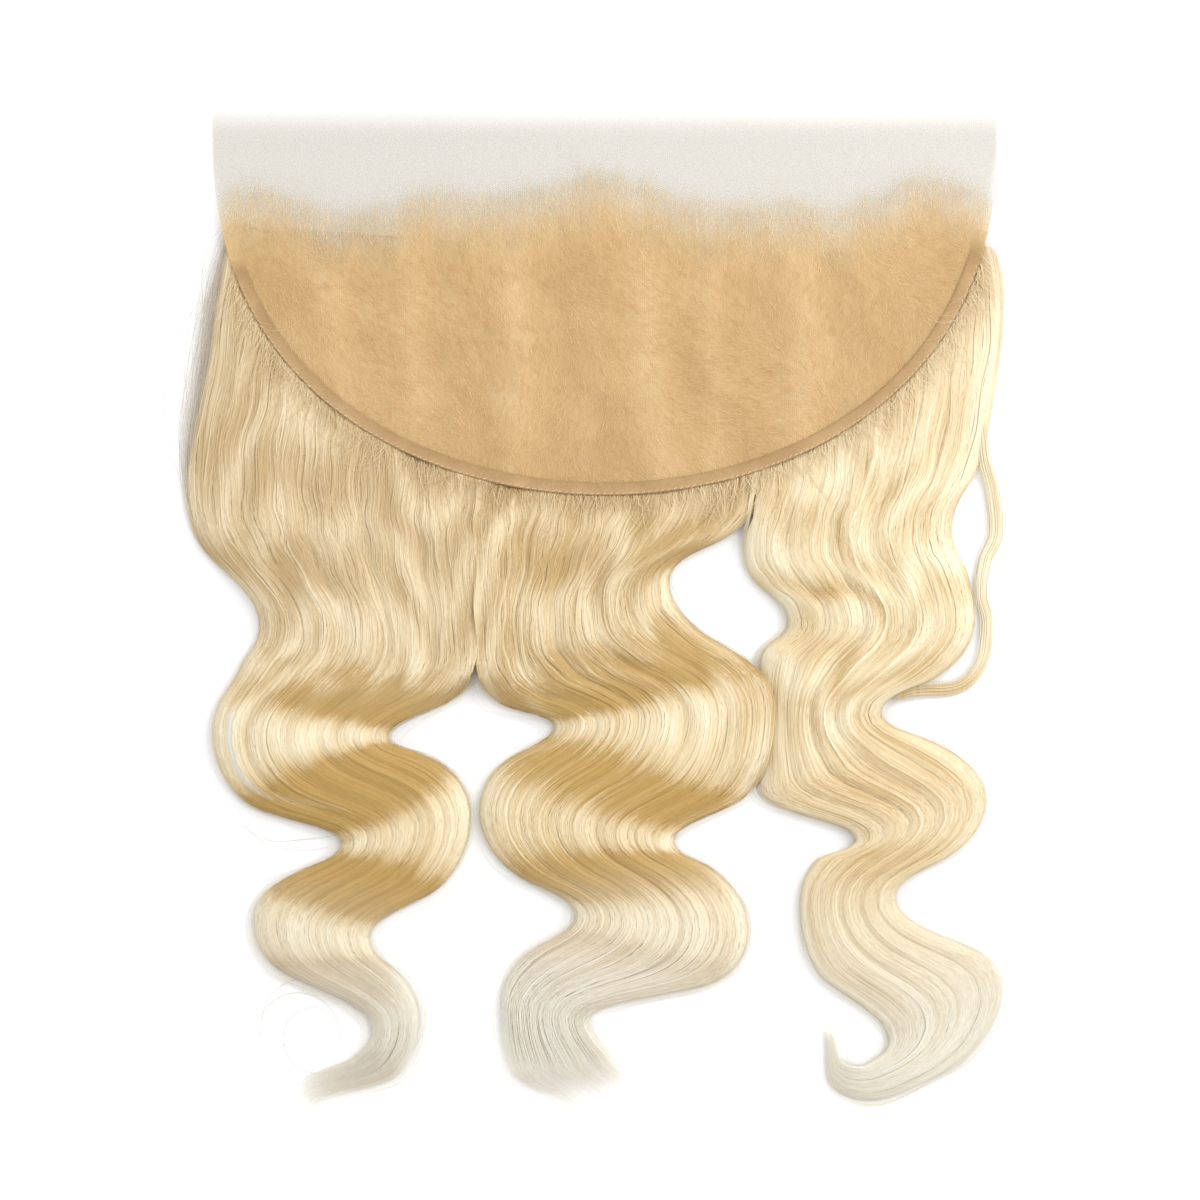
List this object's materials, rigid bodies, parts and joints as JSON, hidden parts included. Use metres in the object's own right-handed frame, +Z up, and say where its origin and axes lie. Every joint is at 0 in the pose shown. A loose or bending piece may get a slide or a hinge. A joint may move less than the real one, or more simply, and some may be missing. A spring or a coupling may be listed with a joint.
{
  "type": "lace frontal hairpiece",
  "caption": "Lace frontal hairpiece laid out flat: a D-shaped lace panel with a bare front margin and a folded rear hem carries long body-wave hair in wavy falls.",
  "frame": {"origin": "bottom centre of the whole piece's box, on the surface that it lies on", "axes": "+X to the right as seen from above, +Y towards the bare front lace margin, +Z up from the surface"},
  "size_m": [0.3447, 0.424, 0.0137],
  "materials": {
    "lace": "fine see-through lace net, matt",
    "hem": "folded and stitched lace band, matt",
    "hair": "silky blonde hair, soft sheen"
  },
  "bodies": {
    "root": {"lace_panel": "lace", "edge_hem": "hem", "left_fall": "hair", "middle_fall": "hair", "right_fall": "hair", "side_wisp": "hair"}
  },
  "joints": []
}
